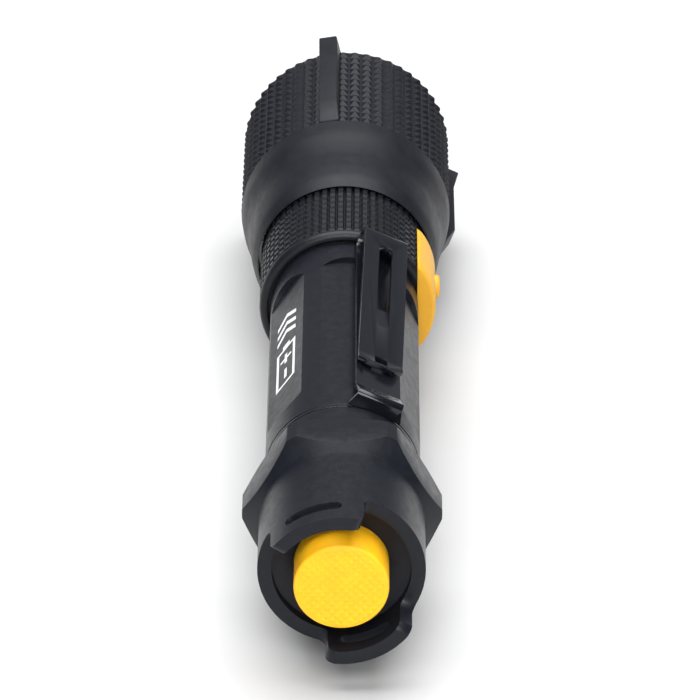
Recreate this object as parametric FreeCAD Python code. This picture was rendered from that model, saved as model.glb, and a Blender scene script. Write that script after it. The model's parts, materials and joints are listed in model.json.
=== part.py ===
"""Tactical flashlight with a sliding focus head, a screw-on tail cap and a pocket clip.

Frame: millimetres, +Z up, the torch lies on its side with its axis along Y.
The origin is on the axis, in the plane of the tail cup's low rim; the lamp end is towards +Y.
Angles around the axis are measured from +X towards +Z, as seen from the tail.
"""
import FreeCAD, Part
import math
import os

V = FreeCAD.Vector
AXIS = V(0, 1, 0)
OUT = "parts"

# ---------------------------------------------------------------- driving dimensions
GAP = 0.05                # assembly gap between mating faces
TURN = 0.10               # radial running clearance
FAR = 40.0                # reach of a cutter that must clear the whole torch
COIL_STEPS = 12           # points of a spring's path in one turn

# tail cap
CUP_R = 13.0              # tail collar, outside
CUP_BORE_R = 10.8         # cup around the tail button
CUP_FLOOR_Y = 1.8
CUP_WALL_END_Y = 3.8
COLLAR_END_Y = 14.2
HORN_LENGTH = 6.5
HORN_SPANS_DEG = ((74.5, 146.5), (259.0, 327.0))
HORN_CORNER_R = 1.7
HORN_FOOT_LAP_DEG = 0.5   # overlap of a foot fillet with its horn
LANYARD_SLOT_W = 2.2
LANYARD_SLOT_Y = -2.7
LANYARD_MID_DEG = 110.5   # the second slot is opposite
LANYARD_HALF_DEG = 16.0
HEX_APOTHEM = 14.0        # 28 mm across flats
HEX_TURNED_R = 15.7
HEX_CREST_Y = (17.3, 21.9)  # between the rear and the front cone
HEX_END_Y = 24.4
CAP_FRONT_R = 12.35
CAP_FRONT_Y = 29.95
CAP_EDGE = 0.25
CAP_BORE_R = 10.4         # switch bore
THREAD_BORE_R = 11.3      # drawn plain
THREAD_BORE_Y = 16.6
SEAL_Y = 26.8
SEAL_L = 1.4
SEAL_GROOVE_R = 11.75
SEAL_RUN = 0.03           # the seal wipes the spigot with this much room

# tail switch
BUTTON_R = 7.35
BUTTON_FACE_Y = -5.5
BUTTON_EDGE = 0.7
BUTTON_LIP = 1.6          # stands out behind the cup's floor
BUTTON_LIP_T = 1.0
BUTTON_SKIN = 1.6
BUTTON_CAVITY_Y = -3.5
BUTTON_TRAVEL = 1.8
PLUNGER_R = 2.2
PLUNGER_DISC_Y = 4.0      # rear end of the stem's disc
SWITCH_Y = 7.0
STEM_END_Y = 9.2
SWITCH_SPRING_R = (4.7, 3.5)
SWITCH_SPRING_END_Y = 10.6
SPRING_POCKET_R = (3.0, 5.2)
SWITCH_WIRE_R = 0.35
POCKET_ROOM = 0.4         # left at the end of the stroke
SWITCH_BOARD_Y = 13.6
SWITCH_BOARD_T = 1.2
RETAINER_Y = SWITCH_BOARD_Y + SWITCH_BOARD_T + GAP
RETAINER_T = 1.7
RETAINER_BORE_R = 6.6
NOTCH_DEPTH = 0.8
NOTCH_HALF_W = 0.9
TAIL_SPRING_R = (5.6, 3.2)
TAIL_WIRE_R = 0.45

# battery tube
TUBE_R = 12.35
TUBE_BORE_R = 9.6
TUBE_REAR_Y = 18.0
TUBE_EDGE = 0.3
SPIGOT_R = 11.0
SHOULDER_Y = 30.65
TUBE_FRONT_Y = 87.0
FRONT_SPIGOT_R = 11.35
FRONT_SPIGOT_Y = 89.2
FLAT_COUNT = 6
FLAT_FIRST_DEG = 84.9
FLAT_HALF_DEG = 22.4
FLAT_REAR_Y = 36.1
FLAT_FRONT_Y = 81.4
FLAT_END_R = 6.0          # plan radius of the cutter's ends

# cell, size 18650
CELL_R = 9.0
CELL_Y = 22.0
CELL_END_Y = 87.0
CELL_WRAP_R = 9.25
CELL_PLAIN = 0.3          # can left bare at each end of the sleeve
CELL_INSULATOR_R = 4.5
CELL_TIP_R = 3.0
CELL_TIP_Y = CELL_END_Y + 1.0
CELL_TIP_TAPER = 0.2

# neck
NECK_R = 14.25
NECK_Y = 86.4
NECK_EDGE = 0.8
SKIRT_BORE_R = 13.0       # recess round the tube's front end
SKIRT_END_Y = 88.0
NECK_BORE_R = 11.6
KNURL_END_Y = 107.0
KNURL_RUN_OUT = 0.3
BARREL_R = 14.0
NECK_FRONT_Y = 125.0
BARREL_EDGE = 0.5
RING_SEAT_Y = 119.5
RING_SEAT_L = 1.0
RING_SEAT_DEPTH = 0.6
ORING_SEAT_Y = 121.6
ORING_SEAT_L = 1.6
ORING_SEAT_DEPTH = 0.9
ORING_WIRE_R = 0.7
TUBE_ORING_R = 0.38
STOP_RING_GAP = 2.4       # opening of the snap ring

# light engine
PILL_Y = FRONT_SPIGOT_Y + 0.2
PILL_END_Y = 118.0
DRIVER_R = 9.1
DRIVER_Y = PILL_Y + 0.15
DRIVER_T = 1.4
DRIVER_SPRING_R = (3.4, 2.4)
DRIVER_WIRE_R = 0.25
LAMP_BOARD_R = 8.0
LAMP_BOARD_T = 1.6
LAMP_BASE = 5.0           # side of the emitter's square base
LAMP_BASE_T = 0.8
LAMP_DOME_R = 2.0
WIRE_HOLE_R = 0.9
WIRE_HOLE_X = 8.0

# side switch, at 0 degrees on the neck
PAD_Y = (87.1, 101.0)
PAD_HALF_Z = 8.1
PAD_SEAT_X = 12.2         # flat milled across the neck
PAD_TOP_X = 15.3
PAD_ARC_R = 12.6
PAD_CORNER_R = 0.8
KEY_Y = 94.8
KEY_R = 1.95
KEY_FLANGE_R = 2.9
KEY_FLANGE_X = (10.6, 11.2)
KEY_TOP_X = 16.1
KEY_EDGE_R = 0.4
KEY_BOTTOM_X = 10.3
TACT_SIDE = 6.0           # tactile switch body
TACT_X = (7.9, 9.2)
TACT_STEM_R = 1.6
TACT_STEM_X = 9.55
SIDE_BOARD_X = (6.8, 7.85)
SIDE_BOARD_Y = (91.65, 101.4)
SIDE_BOARD_HALF_Z = 5.2
BOARD_ROOM = 0.2          # around the board in its pocket

# head
HEAD_REAR_Y = 103.0
HEAD_FRONT_Y = 150.3
HEAD_LIP = 0.7            # grip material folded over the core's front end
BELL_PROFILE = (
    (103.3, 14.95), (105.3, 15.65), (107.5, 16.02), (110.2, 16.3), (113.0, 16.55),
    (115.5, 16.98), (118.5, 17.62), (121.8, 18.0),
)
BELL_EDGE = 0.1
BEZEL_R = 18.06
BEZEL_EDGE = 0.3
HEAD_BORE_R = 14.75
CORE_Y = 106.8
CORE_REAR_R = 15.45       # core inside the thin end of the bell
CORE_STEP_Y = 116.0
CORE_R = 16.6
SLIDE_RING_Y = 107.4
SLIDE_RING_L = 3.0
SLIDE_RING_R = 14.95
SLIDE_RING_FIT = 0.06
SLIDE_GROOVE_R = 15.05
SLIDE_SPLIT = 1.0         # slit that lets the ring open over the barrel
LENS_SEAT_Y = 127.0
LENS_SEAT_T = 1.4
LENS_SEAT_R = 14.0
LENS_R = 15.45
LENS_EDGE_T = 3.0
LENS_DOME_R = 13.2
LENS_SAG = 8.4
LENS_POCKET_R = 15.7
LENS_ORING_R = 14.7
LENS_ORING_WIRE_R = 0.75
LENS_RING_Y = LENS_SEAT_Y + LENS_EDGE_T + 1.7
LENS_RING_BORE_R = (13.8, 14.6)
LENS_RING_BEVEL_Y = LENS_RING_Y + 5.5
LENS_RING_NOTCH = 1.2
LENS_NOTCH_HALF_W = 1.0
FRONT_BORE_Y = 139.7
FRONT_BORE_R = 16.0
FIN_DEGS = (99.0, 219.0, 339.0)
FIN_ROOT_W = 3.75
FIN_TOP_W = 3.1
FIN_ROOT_R = 16.9
FIN_R = 19.85
FIN_REAR_R = 18.2         # where the ramp starts
FIN_FRONT_R = 20.85       # at the front face
FIN_REAR_Y = 121.9
FIN_RISE_Y = 127.0
FIN_FLARE_Y = 143.7

# pocket clip
CLIP_DEG = 65.5
CLIP_W = 7.7
CLIP_T = 0.8
CLIP_ROOT_X = 11.9
CLIP_WASHER_Y = 30.0
CLIP_WASHER_T = 0.6
CLIP_RISER_X = 14.8
CLIP_FLARE_X = 14.1       # the riser widens from here to its root
CLIP_FLARE_HALF_W = 4.6
CLIP_LEAF_X = 13.2        # inner leaf, where it leaves the riser's bend
CLIP_LEAF_Y = 34.6
CLIP_BEND_X = (12.87, 16.75)  # inner and outer leaf at the hairpin
CLIP_BEND_Y = 84.5
CLIP_TOUCH = (14.17, 44.0)  # x, y where the outer leaf comes closest
CLIP_TIP = (14.45, 41.2)
CLIP_BEND_RADII = (0.7, 3.0, 1.7, 1.72, 3.0)
CLIP_END_R = 6.3          # plan radius of the free end
CLIP_WINDOW_Y = (54.0, 79.3)
CLIP_WINDOW_HALF_W = 1.18
CLIP_HOLE_Y = (42.0, 44.3)
CLIP_HOLE_HALF_W = 1.08
CLIP_SHOULDER_R = 12.6    # the strap is no thicker than its washer inside this


# ---------------------------------------------------------------- helpers
def rod(y0, y1, r):
    """A cylinder on the axis."""
    return Part.makeCylinder(r, y1 - y0, V(0, y0, 0), AXIS)


def ring(y0, y1, r_in, r_out):
    return rod(y0, y1, r_out).cut(rod(y0 - 1, y1 + 1, r_in))


def groove_ring(y_mid, r_mid, wire_r):
    """A round seal or wire ring on the axis."""
    return Part.makeTorus(r_mid, wire_r, V(0, y_mid, 0), AXIS)


def outline_edges(points):
    """Straight edges through (y, r) points, in the XY plane."""
    corners = [V(r, y, 0) for y, r in points]
    return [Part.makeLine(a, b) for a, b in zip(corners, corners[1:])]


def turned(points):
    """A solid of revolution from (y, r) points; the outline closes on itself."""
    face = Part.Face(Part.Wire(outline_edges(points + points[:1])))
    return face.revolve(V(0, 0, 0), AXIS, 360)


def at_angle(shape, degrees):
    """Turns a shape built at 0 degrees round the axis."""
    turned_shape = shape.copy()
    turned_shape.rotate(V(0, 0, 0), AXIS, -degrees)
    return turned_shape


def block(x0, x1, y0, y1, z0, z1):
    return Part.makeBox(x1 - x0, y1 - y0, z1 - z0, V(x0, y0, z0))


def radial_rod(x0, x1, y, r):
    """A cylinder along +X."""
    return Part.makeCylinder(r, x1 - x0, V(x0, y, 0), V(1, 0, 0))


def sector(y0, y1, r_in, r_out, start_deg, end_deg):
    """Part of a ring between two angles."""
    piece = Part.makeCylinder(r_out, y1 - y0, V(0, 0, 0), V(0, 0, 1), end_deg - start_deg)
    piece = piece.cut(Part.makeCylinder(r_in, y1 - y0 + 2, V(0, 0, -1)))
    piece.rotate(V(0, 0, 0), V(1, 0, 0), 90)
    piece.translate(V(0, y1, 0))
    return at_angle(piece, start_deg)


def slot_plan(y0, y1, half_w, end_r, x0, x1):
    """A prism along X whose plan is a strip along Y with arc ends."""
    sag = end_r - math.sqrt(end_r ** 2 - half_w ** 2)
    a = V(x0, y0 + sag, -half_w)
    b = V(x0, y1 - sag, -half_w)
    c = V(x0, y1 - sag, half_w)
    d = V(x0, y0 + sag, half_w)
    edges = [
        Part.makeLine(a, b),
        Part.Arc(b, V(x0, y1, 0), c).toShape(),
        Part.makeLine(c, d),
        Part.Arc(d, V(x0, y0, 0), a).toShape(),
    ]
    return Part.Face(Part.Wire(edges)).extrude(V(x1 - x0, 0, 0))


def rounded_path(points, radii):
    """A wire of straight runs joined by tangent arcs, one radius for each inner point."""
    edges = []
    start = points[0]
    for i in range(1, len(points) - 1):
        corner = points[i]
        back = (points[i - 1] - corner).normalize()
        ahead = (points[i + 1] - corner).normalize()
        half = back.getAngle(ahead) / 2
        reach = radii[i - 1] / math.tan(half)
        enter = corner + back * reach
        leave = corner + ahead * reach
        towards = (back + ahead).normalize()
        middle = corner + towards * (radii[i - 1] / math.sin(half) - radii[i - 1])
        edges.append(Part.makeLine(start, enter))
        edges.append(Part.Arc(enter, middle, leave).toShape())
        start = leave
    edges.append(Part.makeLine(start, points[-1]))
    return Part.Wire(edges)


def coil(y0, y1, radii, turns, wire_r):
    """A round-wire coil spring on the axis; radii are those of its first and last turn."""
    first_r, last_r = radii
    rise = y1 - y0 - 2 * wire_r
    steps = COIL_STEPS * turns
    points = []
    for k in range(steps + 1):
        t = k / steps
        a = 2 * math.pi * turns * t
        r = first_r + (last_r - first_r) * t
        points.append(V(r * math.cos(a), y0 + wire_r + rise * t, -r * math.sin(a)))
    path = Part.BSplineCurve()
    path.interpolate(points)
    section = Part.Wire(Part.makeCircle(wire_r, points[0], V(0, 0, 1)))
    return Part.Wire(path.toShape()).makePipeShell([section], True, True)


def fillet_where(shape, radius, wanted):
    """Rounds the edges for which wanted(edge) is true."""
    edges = [edge for edge in shape.Edges if wanted(edge)]
    return shape.makeFillet(radius, edges)


def middle_of(edge):
    first, last = edge.ParameterRange
    return edge.valueAt((first + last) / 2)


def save(name, shape):
    """Writes one node; several solids stay separate in it."""
    solids = shape.Solids
    whole = solids[0] if len(solids) == 1 else Part.makeCompound(solids)
    if not whole.isValid():
        raise ValueError(name + " is not a valid shape")
    whole.exportStep(os.path.join(OUT, name + ".step"))
    print(f"{name:20s} {len(solids)} solid  {whole.Volume:9.1f} mm3")


# ---------------------------------------------------------------- tail cap
def cap_blank():
    """The turned outside of the cap, before the hexagon is milled."""
    crest_rear, crest_front = HEX_CREST_Y
    return turned([
        (0, 0), (0, CUP_R), (COLLAR_END_Y, CUP_R), (crest_rear, HEX_TURNED_R),
        (crest_front, HEX_TURNED_R), (HEX_END_Y - CAP_EDGE, CAP_FRONT_R + CAP_EDGE),
        (HEX_END_Y, CAP_FRONT_R), (CAP_FRONT_Y - CAP_EDGE, CAP_FRONT_R),
        (CAP_FRONT_Y, CAP_FRONT_R - CAP_EDGE), (CAP_FRONT_Y, 0),
    ])


def hexagon():
    """Prism that limits the wrench flats; a flat faces straight up."""
    corner_r = HEX_APOTHEM / math.cos(math.radians(30))
    corners = []
    for k in range(7):
        a = math.radians(60 * k)
        corners.append(V(corner_r * math.cos(a), -1, corner_r * math.sin(a)))
    return Part.Face(Part.makePolygon(corners)).extrude(V(0, CAP_FRONT_Y + 2, 0))


def horn(start_deg, end_deg, slot_deg):
    """One of the two tail-stand horns, with its lanyard slot and rounded corners."""
    piece = sector(-HORN_LENGTH, CUP_FLOOR_Y, CUP_BORE_R, CUP_R, start_deg, end_deg)

    def tip_corner(edge):
        p = middle_of(edge)
        wall_mid_r = (CUP_BORE_R + CUP_R) / 2
        return abs(p.y + HORN_LENGTH) < 1e-6 and abs(math.hypot(p.x, p.z) - wall_mid_r) < 0.2

    piece = fillet_where(piece, HORN_CORNER_R, tip_corner)
    half_w = LANYARD_SLOT_W / 2
    slot = sector(LANYARD_SLOT_Y - half_w, LANYARD_SLOT_Y + half_w, CUP_BORE_R - 1, CUP_R + 1,
                  slot_deg - LANYARD_HALF_DEG, slot_deg + LANYARD_HALF_DEG)
    for side in (-1, 1):
        end = radial_rod(CUP_BORE_R - 1, CUP_R + 1, LANYARD_SLOT_Y, half_w)
        slot = slot.fuse(at_angle(end, slot_deg + side * LANYARD_HALF_DEG))
    return piece.cut(slot)


def horn_foot(edge_deg, side):
    """Concave fillet where a horn meets the low rim: a wedge with a round taken out of it."""
    foot_deg = math.degrees(HORN_CORNER_R / CUP_R)
    start, end = sorted((edge_deg - side * HORN_FOOT_LAP_DEG, edge_deg + side * foot_deg))
    wedge = sector(-HORN_CORNER_R, CUP_FLOOR_Y, CUP_BORE_R, CUP_R, start, end)
    scoop = radial_rod(CUP_BORE_R - 3, CUP_R + 3, -HORN_CORNER_R, HORN_CORNER_R)
    return wedge.cut(at_angle(scoop, edge_deg + side * foot_deg))


def tail_cap():
    cap = cap_blank().common(hexagon())
    cap = cap.cut(rod(-1, CUP_FLOOR_Y, CUP_BORE_R))
    cap = cap.cut(rod(0, CUP_WALL_END_Y + 1, BUTTON_R + TURN))
    cap = cap.cut(rod(CUP_WALL_END_Y, THREAD_BORE_Y + 1, CAP_BORE_R))
    cap = cap.cut(rod(THREAD_BORE_Y, CAP_FRONT_Y + 1, THREAD_BORE_R))
    cap = cap.cut(rod(SEAL_Y, SEAL_Y + SEAL_L, SEAL_GROOVE_R))
    for k, (start_deg, end_deg) in enumerate(HORN_SPANS_DEG):
        parts = [horn(start_deg, end_deg, LANYARD_MID_DEG + 180 * k)]
        parts += [horn_foot(start_deg, -1), horn_foot(end_deg, 1)]
        cap = cap.fuse(parts)
    return cap.removeSplitter()


# ---------------------------------------------------------------- tail switch
def tail_button():
    """Rubber-covered push button; its lip stops on the cup's floor from inside."""
    lip_y = CUP_WALL_END_Y + GAP
    lip_end = lip_y + BUTTON_LIP_T
    edge_mid = BUTTON_EDGE * 0.3
    body = turned([
        (BUTTON_FACE_Y, 0), (BUTTON_FACE_Y, BUTTON_R - BUTTON_EDGE),
        (BUTTON_FACE_Y + edge_mid, BUTTON_R - edge_mid), (BUTTON_FACE_Y + BUTTON_EDGE, BUTTON_R),
        (lip_y, BUTTON_R), (lip_y, BUTTON_R + BUTTON_LIP), (lip_end, BUTTON_R + BUTTON_LIP), (lip_end, 0),
    ])
    return body.cut(rod(BUTTON_CAVITY_Y, lip_end + 1, BUTTON_R - BUTTON_SKIN))


def switch_plunger():
    """Hard core of the button with the stem that works the switch."""
    core = rod(BUTTON_CAVITY_Y + GAP, PLUNGER_DISC_Y, BUTTON_R - BUTTON_SKIN - GAP)
    stem = rod(0, STEM_END_Y, PLUNGER_R)
    return core.fuse(stem).removeSplitter()


def switch_spring():
    return coil(PLUNGER_DISC_Y + GAP, SWITCH_SPRING_END_Y, SWITCH_SPRING_R, 4, SWITCH_WIRE_R)


def switch_housing():
    """Click-switch body with a stem bore and an annular spring pocket."""
    body = rod(SWITCH_Y, SWITCH_BOARD_Y - GAP, CAP_BORE_R - TURN)
    body = body.cut(rod(SWITCH_Y - 1, STEM_END_Y + BUTTON_TRAVEL + POCKET_ROOM, PLUNGER_R + TURN))
    pocket_end = SWITCH_SPRING_END_Y + BUTTON_TRAVEL + POCKET_ROOM
    return body.cut(ring(SWITCH_Y - 1, pocket_end, *SPRING_POCKET_R))


def switch_board():
    return rod(SWITCH_BOARD_Y, SWITCH_BOARD_Y + SWITCH_BOARD_T, CAP_BORE_R - TURN)


def notched(body, y_end, r_in, r_out, depth, half_w):
    """Two opposite spanner notches in a ring's front face."""
    for side in (0, 180):
        notch = block(r_in - 1, r_out + 1, y_end - depth, y_end + 1, -half_w, half_w)
        body = body.cut(at_angle(notch, side))
    return body


def switch_retainer():
    """Threaded ring that holds the switch down in the cap."""
    end = RETAINER_Y + RETAINER_T
    body = ring(RETAINER_Y, end, RETAINER_BORE_R, CAP_BORE_R - TURN)
    return notched(body, end, RETAINER_BORE_R, CAP_BORE_R, NOTCH_DEPTH, NOTCH_HALF_W)


def tail_spring():
    """Conical contact spring under the cell's negative end."""
    return coil(RETAINER_Y, CELL_Y - GAP, TAIL_SPRING_R, 5, TAIL_WIRE_R)


def tail_seal():
    """Rubber ring in the cap's groove that wipes the tube's rear spigot."""
    return ring(SEAL_Y + GAP, SEAL_Y + SEAL_L - GAP, SPIGOT_R + SEAL_RUN, SEAL_GROOVE_R - GAP)


# ---------------------------------------------------------------- battery tube and cell
def battery_tube():
    body = turned([
        (TUBE_REAR_Y, TUBE_BORE_R), (TUBE_REAR_Y, SPIGOT_R - TUBE_EDGE),
        (TUBE_REAR_Y + TUBE_EDGE, SPIGOT_R), (SHOULDER_Y, SPIGOT_R), (SHOULDER_Y, TUBE_R - TUBE_EDGE),
        (SHOULDER_Y + TUBE_EDGE, TUBE_R), (TUBE_FRONT_Y - TUBE_EDGE, TUBE_R),
        (TUBE_FRONT_Y, TUBE_R - TUBE_EDGE), (TUBE_FRONT_Y, FRONT_SPIGOT_R),
        (FRONT_SPIGOT_Y, FRONT_SPIGOT_R), (FRONT_SPIGOT_Y, TUBE_BORE_R),
    ])
    apothem = TUBE_R * math.cos(math.radians(FLAT_HALF_DEG))
    half_w = TUBE_R * math.sin(math.radians(FLAT_HALF_DEG))
    cutter = slot_plan(FLAT_REAR_Y, FLAT_FRONT_Y, half_w, FLAT_END_R, apothem, apothem + 3)
    for k in range(FLAT_COUNT):
        body = body.cut(at_angle(cutter, FLAT_FIRST_DEG + 360 * k / FLAT_COUNT))
    return body


def cell_can():
    return rod(CELL_Y, CELL_END_Y, CELL_R)


def cell_wrap():
    return ring(CELL_Y + CELL_PLAIN, CELL_END_Y - CELL_PLAIN, CELL_R, CELL_WRAP_R)


def cell_cap():
    """Positive button of the cell, on its insulating disc."""
    disc_y = (CELL_END_Y + CELL_TIP_Y) / 2
    return turned([
        (CELL_END_Y, 0), (CELL_END_Y, CELL_INSULATOR_R), (disc_y, CELL_INSULATOR_R),
        (disc_y, CELL_TIP_R), (CELL_TIP_Y, CELL_TIP_R - CELL_TIP_TAPER), (CELL_TIP_Y, 0),
    ])


# ---------------------------------------------------------------- neck and light engine
def neck():
    """Knurled neck sleeve and the smooth barrel on which the head slides."""
    ring_end = RING_SEAT_Y + RING_SEAT_L
    ring_r = BARREL_R - RING_SEAT_DEPTH
    oring_end = ORING_SEAT_Y + ORING_SEAT_L
    oring_r = BARREL_R - ORING_SEAT_DEPTH
    socket_r = FRONT_SPIGOT_R + TURN
    socket_end = FRONT_SPIGOT_Y + TURN
    body = turned([
        (NECK_Y, SKIRT_BORE_R), (NECK_Y, NECK_R - NECK_EDGE), (NECK_Y + NECK_EDGE, NECK_R),
        (KNURL_END_Y - KNURL_RUN_OUT, NECK_R), (KNURL_END_Y, BARREL_R), (RING_SEAT_Y, BARREL_R),
        (RING_SEAT_Y, ring_r), (ring_end, ring_r), (ring_end, BARREL_R),
        (ORING_SEAT_Y, BARREL_R), (ORING_SEAT_Y, oring_r), (oring_end, oring_r),
        (oring_end, BARREL_R), (NECK_FRONT_Y - BARREL_EDGE, BARREL_R), (NECK_FRONT_Y, BARREL_R - BARREL_EDGE),
        (NECK_FRONT_Y, NECK_BORE_R), (socket_end, NECK_BORE_R), (socket_end, socket_r),
        (SKIRT_END_Y, socket_r), (SKIRT_END_Y, SKIRT_BORE_R),
    ])
    seat = block(PAD_SEAT_X - GAP, FAR, 0, PAD_Y[1] + GAP, -FAR, FAR)
    return body.cut(seat).cut(radial_rod(0, FAR, KEY_Y, KEY_R + TURN))


def neck_oring():
    return groove_ring(ORING_SEAT_Y + ORING_SEAT_L / 2, BARREL_R - ORING_SEAT_DEPTH + ORING_WIRE_R + GAP,
                       ORING_WIRE_R)


def tube_oring():
    """Seal between the tube's front end and the floor of the neck's recess."""
    return groove_ring((TUBE_FRONT_Y + SKIRT_END_Y) / 2, FRONT_SPIGOT_R + TUBE_ORING_R + GAP, TUBE_ORING_R)


def stop_ring():
    """Snap ring that ends the head's forward travel."""
    body = ring(RING_SEAT_Y + 2 * GAP, RING_SEAT_Y + RING_SEAT_L - 2 * GAP,
                BARREL_R - RING_SEAT_DEPTH + GAP, BARREL_R + RING_SEAT_DEPTH)
    half = STOP_RING_GAP / 2
    return body.cut(block(0, FAR, RING_SEAT_Y - 1, RING_SEAT_Y + 3, -half, half))


def heatsink():
    """Solid pill that carries the lamp board in front, the driver behind and the side board."""
    body = rod(PILL_Y, PILL_END_Y, NECK_BORE_R - TURN)
    body = body.cut(rod(PILL_Y - 1, DRIVER_Y + DRIVER_T + 2 * GAP, DRIVER_R + TURN))
    half_z = SIDE_BOARD_HALF_Z + BOARD_ROOM
    pocket_rear, pocket_front = SIDE_BOARD_Y[0] - BOARD_ROOM, SIDE_BOARD_Y[1] + BOARD_ROOM
    body = body.cut(block(SIDE_BOARD_X[0] - BOARD_ROOM, FAR, pocket_rear, pocket_front, -half_z, half_z))
    for side in (90, 270):
        wire_hole = Part.makeCylinder(WIRE_HOLE_R, FAR, V(WIRE_HOLE_X, DRIVER_Y, 0), AXIS)
        body = body.cut(at_angle(wire_hole, side))
    return body


def driver_board():
    return rod(DRIVER_Y, DRIVER_Y + DRIVER_T, DRIVER_R)


def driver_spring():
    """Contact spring between the cell's button and the driver."""
    return coil(CELL_TIP_Y + GAP, DRIVER_Y - GAP, DRIVER_SPRING_R, 2, DRIVER_WIRE_R)


def lamp_board():
    return rod(PILL_END_Y + GAP, PILL_END_Y + GAP + LAMP_BOARD_T, LAMP_BOARD_R)


def lamp_chip():
    """Emitter: square base with its dome."""
    y0 = PILL_END_Y + LAMP_BOARD_T + 2 * GAP
    half = LAMP_BASE / 2
    base_end = y0 + LAMP_BASE_T
    base = block(-half, half, y0, base_end, -half, half)
    dome = Part.makeSphere(LAMP_DOME_R, V(0, base_end, 0)).common(rod(base_end - 0.2, base_end + 3, 5))
    return base.fuse(dome).removeSplitter()


# ---------------------------------------------------------------- side switch
def side_boot():
    """Rubber pad: an arched skin on the flat milled across the neck."""
    pad = block(PAD_SEAT_X, FAR, *PAD_Y, -PAD_HALF_Z, PAD_HALF_Z)
    upright = [edge for edge in pad.Edges if abs(edge.Length - (FAR - PAD_SEAT_X)) < 1e-6]
    pad = pad.makeFillet(PAD_CORNER_R, upright)
    arch = Part.makeCylinder(PAD_ARC_R, FAR, V(PAD_TOP_X - PAD_ARC_R, KEY_Y - FAR / 2, 0), AXIS)
    return pad.common(arch).cut(radial_rod(0, FAR, KEY_Y, KEY_R + TURN))


def side_button():
    """Key under the pad's hole: stem, and the flange that keeps it in."""
    stem = radial_rod(KEY_BOTTOM_X, KEY_TOP_X, KEY_Y, KEY_R)
    stem = fillet_where(stem, KEY_EDGE_R, lambda edge: middle_of(edge).x > KEY_TOP_X - 0.01)
    flange = radial_rod(*KEY_FLANGE_X, KEY_Y, KEY_FLANGE_R)
    return stem.fuse(flange).removeSplitter()


def side_switch():
    """Tactile switch under the key."""
    half = TACT_SIDE / 2
    body = block(*TACT_X, KEY_Y - half, KEY_Y + half, -half, half)
    return body.fuse(radial_rod(TACT_X[0] + 1, TACT_STEM_X, KEY_Y, TACT_STEM_R)).removeSplitter()


def side_board():
    return block(*SIDE_BOARD_X, *SIDE_BOARD_Y, -SIDE_BOARD_HALF_Z, SIDE_BOARD_HALF_Z)


# ---------------------------------------------------------------- head
def grip_blank():
    """Outside of the moulded grip: flared bell, then the wider knurled band."""
    bell = Part.BSplineCurve()
    bell.interpolate([V(r, y, 0) for y, r in BELL_PROFILE])
    first_y, first_r = BELL_PROFILE[0]
    last_y, last_r = BELL_PROFILE[-1]
    lip_y = HEAD_FRONT_Y - HEAD_LIP
    rear_step_y = CORE_Y - GAP
    mid_step_y = CORE_STEP_Y - GAP
    edges = outline_edges([
        (last_y, last_r), (last_y, BEZEL_R), (HEAD_FRONT_Y - BEZEL_EDGE, BEZEL_R),
        (HEAD_FRONT_Y, BEZEL_R - BEZEL_EDGE), (HEAD_FRONT_Y, CORE_R), (lip_y, FRONT_BORE_R + GAP),
        (lip_y, CORE_R + GAP), (mid_step_y, CORE_R + GAP), (mid_step_y, CORE_REAR_R + GAP),
        (rear_step_y, CORE_REAR_R + GAP), (rear_step_y, HEAD_BORE_R), (HEAD_REAR_Y, HEAD_BORE_R),
        (HEAD_REAR_Y, first_r - BELL_EDGE), (first_y, first_r),
    ])
    return Part.Face(Part.Wire([bell.toShape()] + edges)).revolve(V(0, 0, 0), AXIS, 360)


def fin():
    """One anti-roll fin at 0 degrees: blunt rear end, long ramp, level back, flared front end."""
    outline = [
        V(FIN_ROOT_R, FIN_REAR_Y, 0), V(FIN_REAR_R, FIN_REAR_Y, 0), V(FIN_R, FIN_RISE_Y, 0),
        V(FIN_R, FIN_FLARE_Y, 0), V(FIN_FRONT_R, HEAD_FRONT_Y, 0), V(FIN_ROOT_R, HEAD_FRONT_Y, 0),
    ]
    plate = Part.Face(Part.makePolygon(outline + outline[:1])).extrude(V(0, 0, FIN_ROOT_W))
    plate.translate(V(0, 0, -FIN_ROOT_W / 2))
    root, top = FIN_ROOT_W / 2, FIN_TOP_W / 2
    section = [
        V(FIN_ROOT_R, FIN_REAR_Y, -root), V(FIN_FRONT_R, FIN_REAR_Y, -top),
        V(FIN_FRONT_R, FIN_REAR_Y, top), V(FIN_ROOT_R, FIN_REAR_Y, root),
    ]
    draft = Part.Face(Part.makePolygon(section + section[:1])).extrude(V(0, HEAD_FRONT_Y - FIN_REAR_Y, 0))
    return plate.common(draft)


def head_grip():
    body = grip_blank()
    for degrees in FIN_DEGS:
        body = body.fuse(at_angle(fin(), degrees))
    return body.removeSplitter()


def head_barrel():
    """Metal core of the head: slide-ring groove, lens seat and open front bore."""
    groove_y = SLIDE_RING_Y - GAP
    groove_end = SLIDE_RING_Y + SLIDE_RING_L + GAP
    front_y = HEAD_FRONT_Y - HEAD_LIP - GAP
    seat_y = LENS_SEAT_Y - LENS_SEAT_T
    return turned([
        (CORE_Y, HEAD_BORE_R), (CORE_Y, CORE_REAR_R), (CORE_STEP_Y, CORE_REAR_R), (CORE_STEP_Y, CORE_R),
        (front_y, CORE_R), (front_y, FRONT_BORE_R), (FRONT_BORE_Y, FRONT_BORE_R),
        (FRONT_BORE_Y, LENS_POCKET_R), (LENS_SEAT_Y, LENS_POCKET_R), (LENS_SEAT_Y, LENS_SEAT_R),
        (seat_y, LENS_SEAT_R), (seat_y, HEAD_BORE_R), (groove_end, HEAD_BORE_R),
        (groove_end, SLIDE_GROOVE_R), (groove_y, SLIDE_GROOVE_R), (groove_y, HEAD_BORE_R),
    ])


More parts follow.
